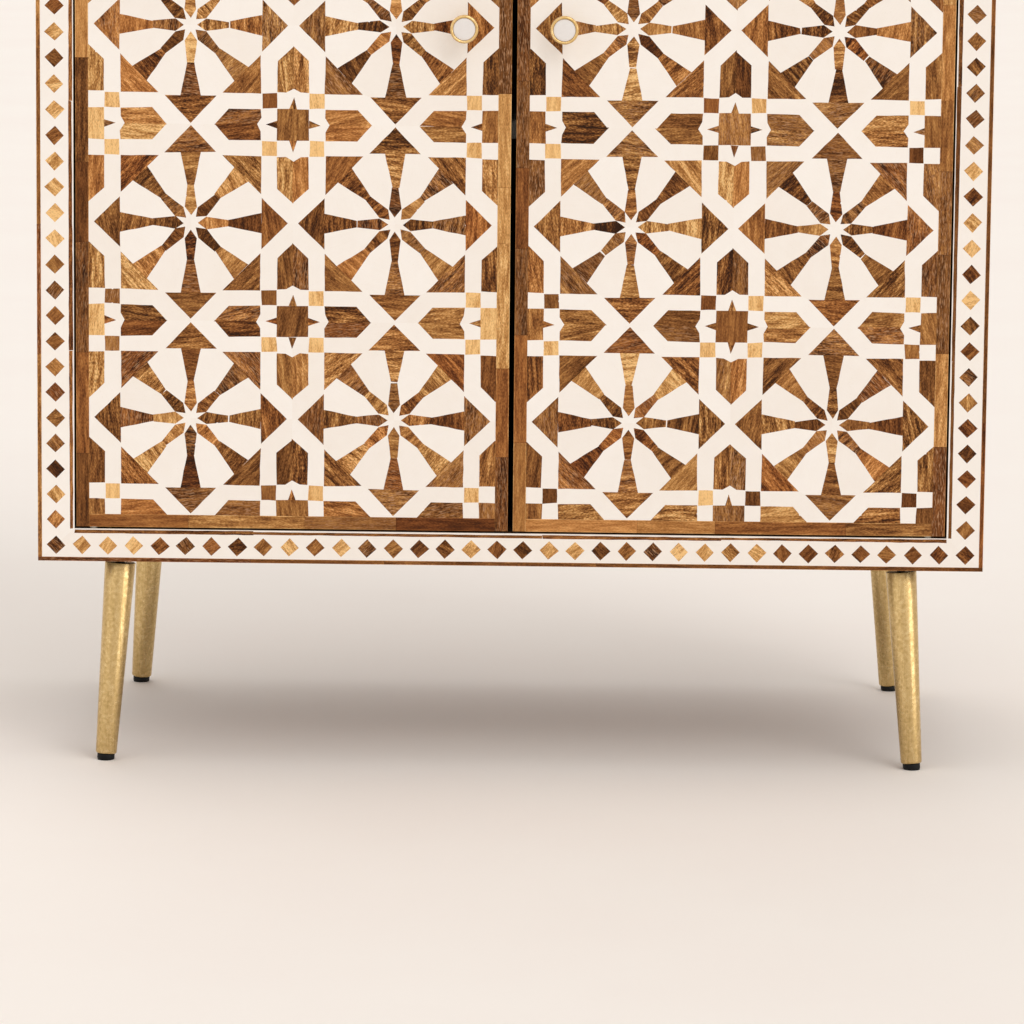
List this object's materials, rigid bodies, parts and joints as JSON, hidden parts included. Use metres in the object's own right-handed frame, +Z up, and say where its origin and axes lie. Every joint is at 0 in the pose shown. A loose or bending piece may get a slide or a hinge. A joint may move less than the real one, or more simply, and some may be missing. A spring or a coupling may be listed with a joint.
{
  "type": "inlaid two-door cabinet",
  "caption": "Free-standing cabinet inlaid all over with wood stars in an off-white bone ground, with a pair of inset doors, brass knobs and splayed brass legs.",
  "frame": {"origin": "on the floor, under the middle of the whole box, knobs included", "axes": "+Z up, the doors face -Y, and +X is to the right of someone who faces the doors"},
  "size_m": [0.914, 0.485, 1.05],
  "materials": {
    "bone": "off-white bone and resin ground, sanded flush and waxed",
    "inlay_wood": "hand-cut hardwood pieces in several tones, sanded and waxed",
    "board_wood": "hardwood boards, oiled inside",
    "shelf_board": "grey-stained shelf board",
    "back_wood": "plain stained plywood",
    "dowel_wood": "beech dowels",
    "aged_brass": "drawn brass tube, antiqued and lacquered satin",
    "knob_brass": "polished brass",
    "pivot_brass": "plain brass",
    "black_steel": "black powder coat",
    "black_plastic": "matte black",
    "nylon": "natural nylon",
    "zinc_steel": "zinc plated",
    "magnet": "ferrite"
  },
  "bodies": {
    "case": {"back_panel": "back_wood", "back_panel_screws": "zinc_steel", "bottom_board": "board_wood", "carcass_dowels": "dowel_wood", "case_pivot_screws": "zinc_steel", "catch_body": "black_plastic", "catch_magnets": "magnet", "catch_screws": "zinc_steel", "front_border_bone": "bone", "front_border_diamonds": "inlay_wood", "front_edge_strips": "inlay_wood", "front_left_glide": "black_plastic", "front_left_leg": "aged_brass", "front_left_leg_plate": "black_steel", "front_right_glide": "black_plastic", "front_right_leg": "aged_brass", "front_right_leg_plate": "black_steel", "left_case_pivots": "pivot_brass", "left_side_board": "board_wood", "left_side_inlay_bone": "bone", "left_side_inlay_wood": "inlay_wood", "leg_plate_screws": "zinc_steel", "rear_left_glide": "black_plastic", "rear_left_leg": "aged_brass", "rear_left_leg_plate": "black_steel", "rear_right_glide": "black_plastic", "rear_right_leg": "aged_brass", "rear_right_leg_plate": "black_steel", "right_case_pivots": "pivot_brass", "right_side_board": "board_wood", "right_side_inlay_bone": "bone", "right_side_inlay_wood": "inlay_wood", "shelf": "shelf_board", "shelf_supports": "zinc_steel", "top_board": "board_wood", "top_inlay_bone": "bone", "top_inlay_wood": "inlay_wood"},
    "left_door": {"left_door_bone": "bone", "left_door_core": "board_wood", "left_door_edging": "inlay_wood", "left_door_pivots": "pivot_brass", "left_door_screws": "zinc_steel", "left_door_wood": "inlay_wood", "left_knob": "knob_brass", "left_knob_insert": "bone", "left_knob_screw": "zinc_steel", "left_pivot_washer": "nylon", "left_strike": "zinc_steel"},
    "right_door": {"right_door_bone": "bone", "right_door_core": "board_wood", "right_door_edging": "inlay_wood", "right_door_pivots": "pivot_brass", "right_door_screws": "zinc_steel", "right_door_wood": "inlay_wood", "right_knob": "knob_brass", "right_knob_insert": "bone", "right_knob_screw": "zinc_steel", "right_pivot_washer": "nylon", "right_strike": "zinc_steel"}
  },
  "joints": [
    {"name": "left_door_hinge", "type": "hinge", "parent": "case", "child": "left_door", "pos_m": [-0.4035, -0.2075, 0.234], "axis": [0, 0, -1], "range_deg": [0, 110]},
    {"name": "right_door_hinge", "type": "hinge", "parent": "case", "child": "right_door", "pos_m": [0.4035, -0.2075, 0.234], "axis": [0, 0, 1], "range_deg": [0, 110]}
  ]
}
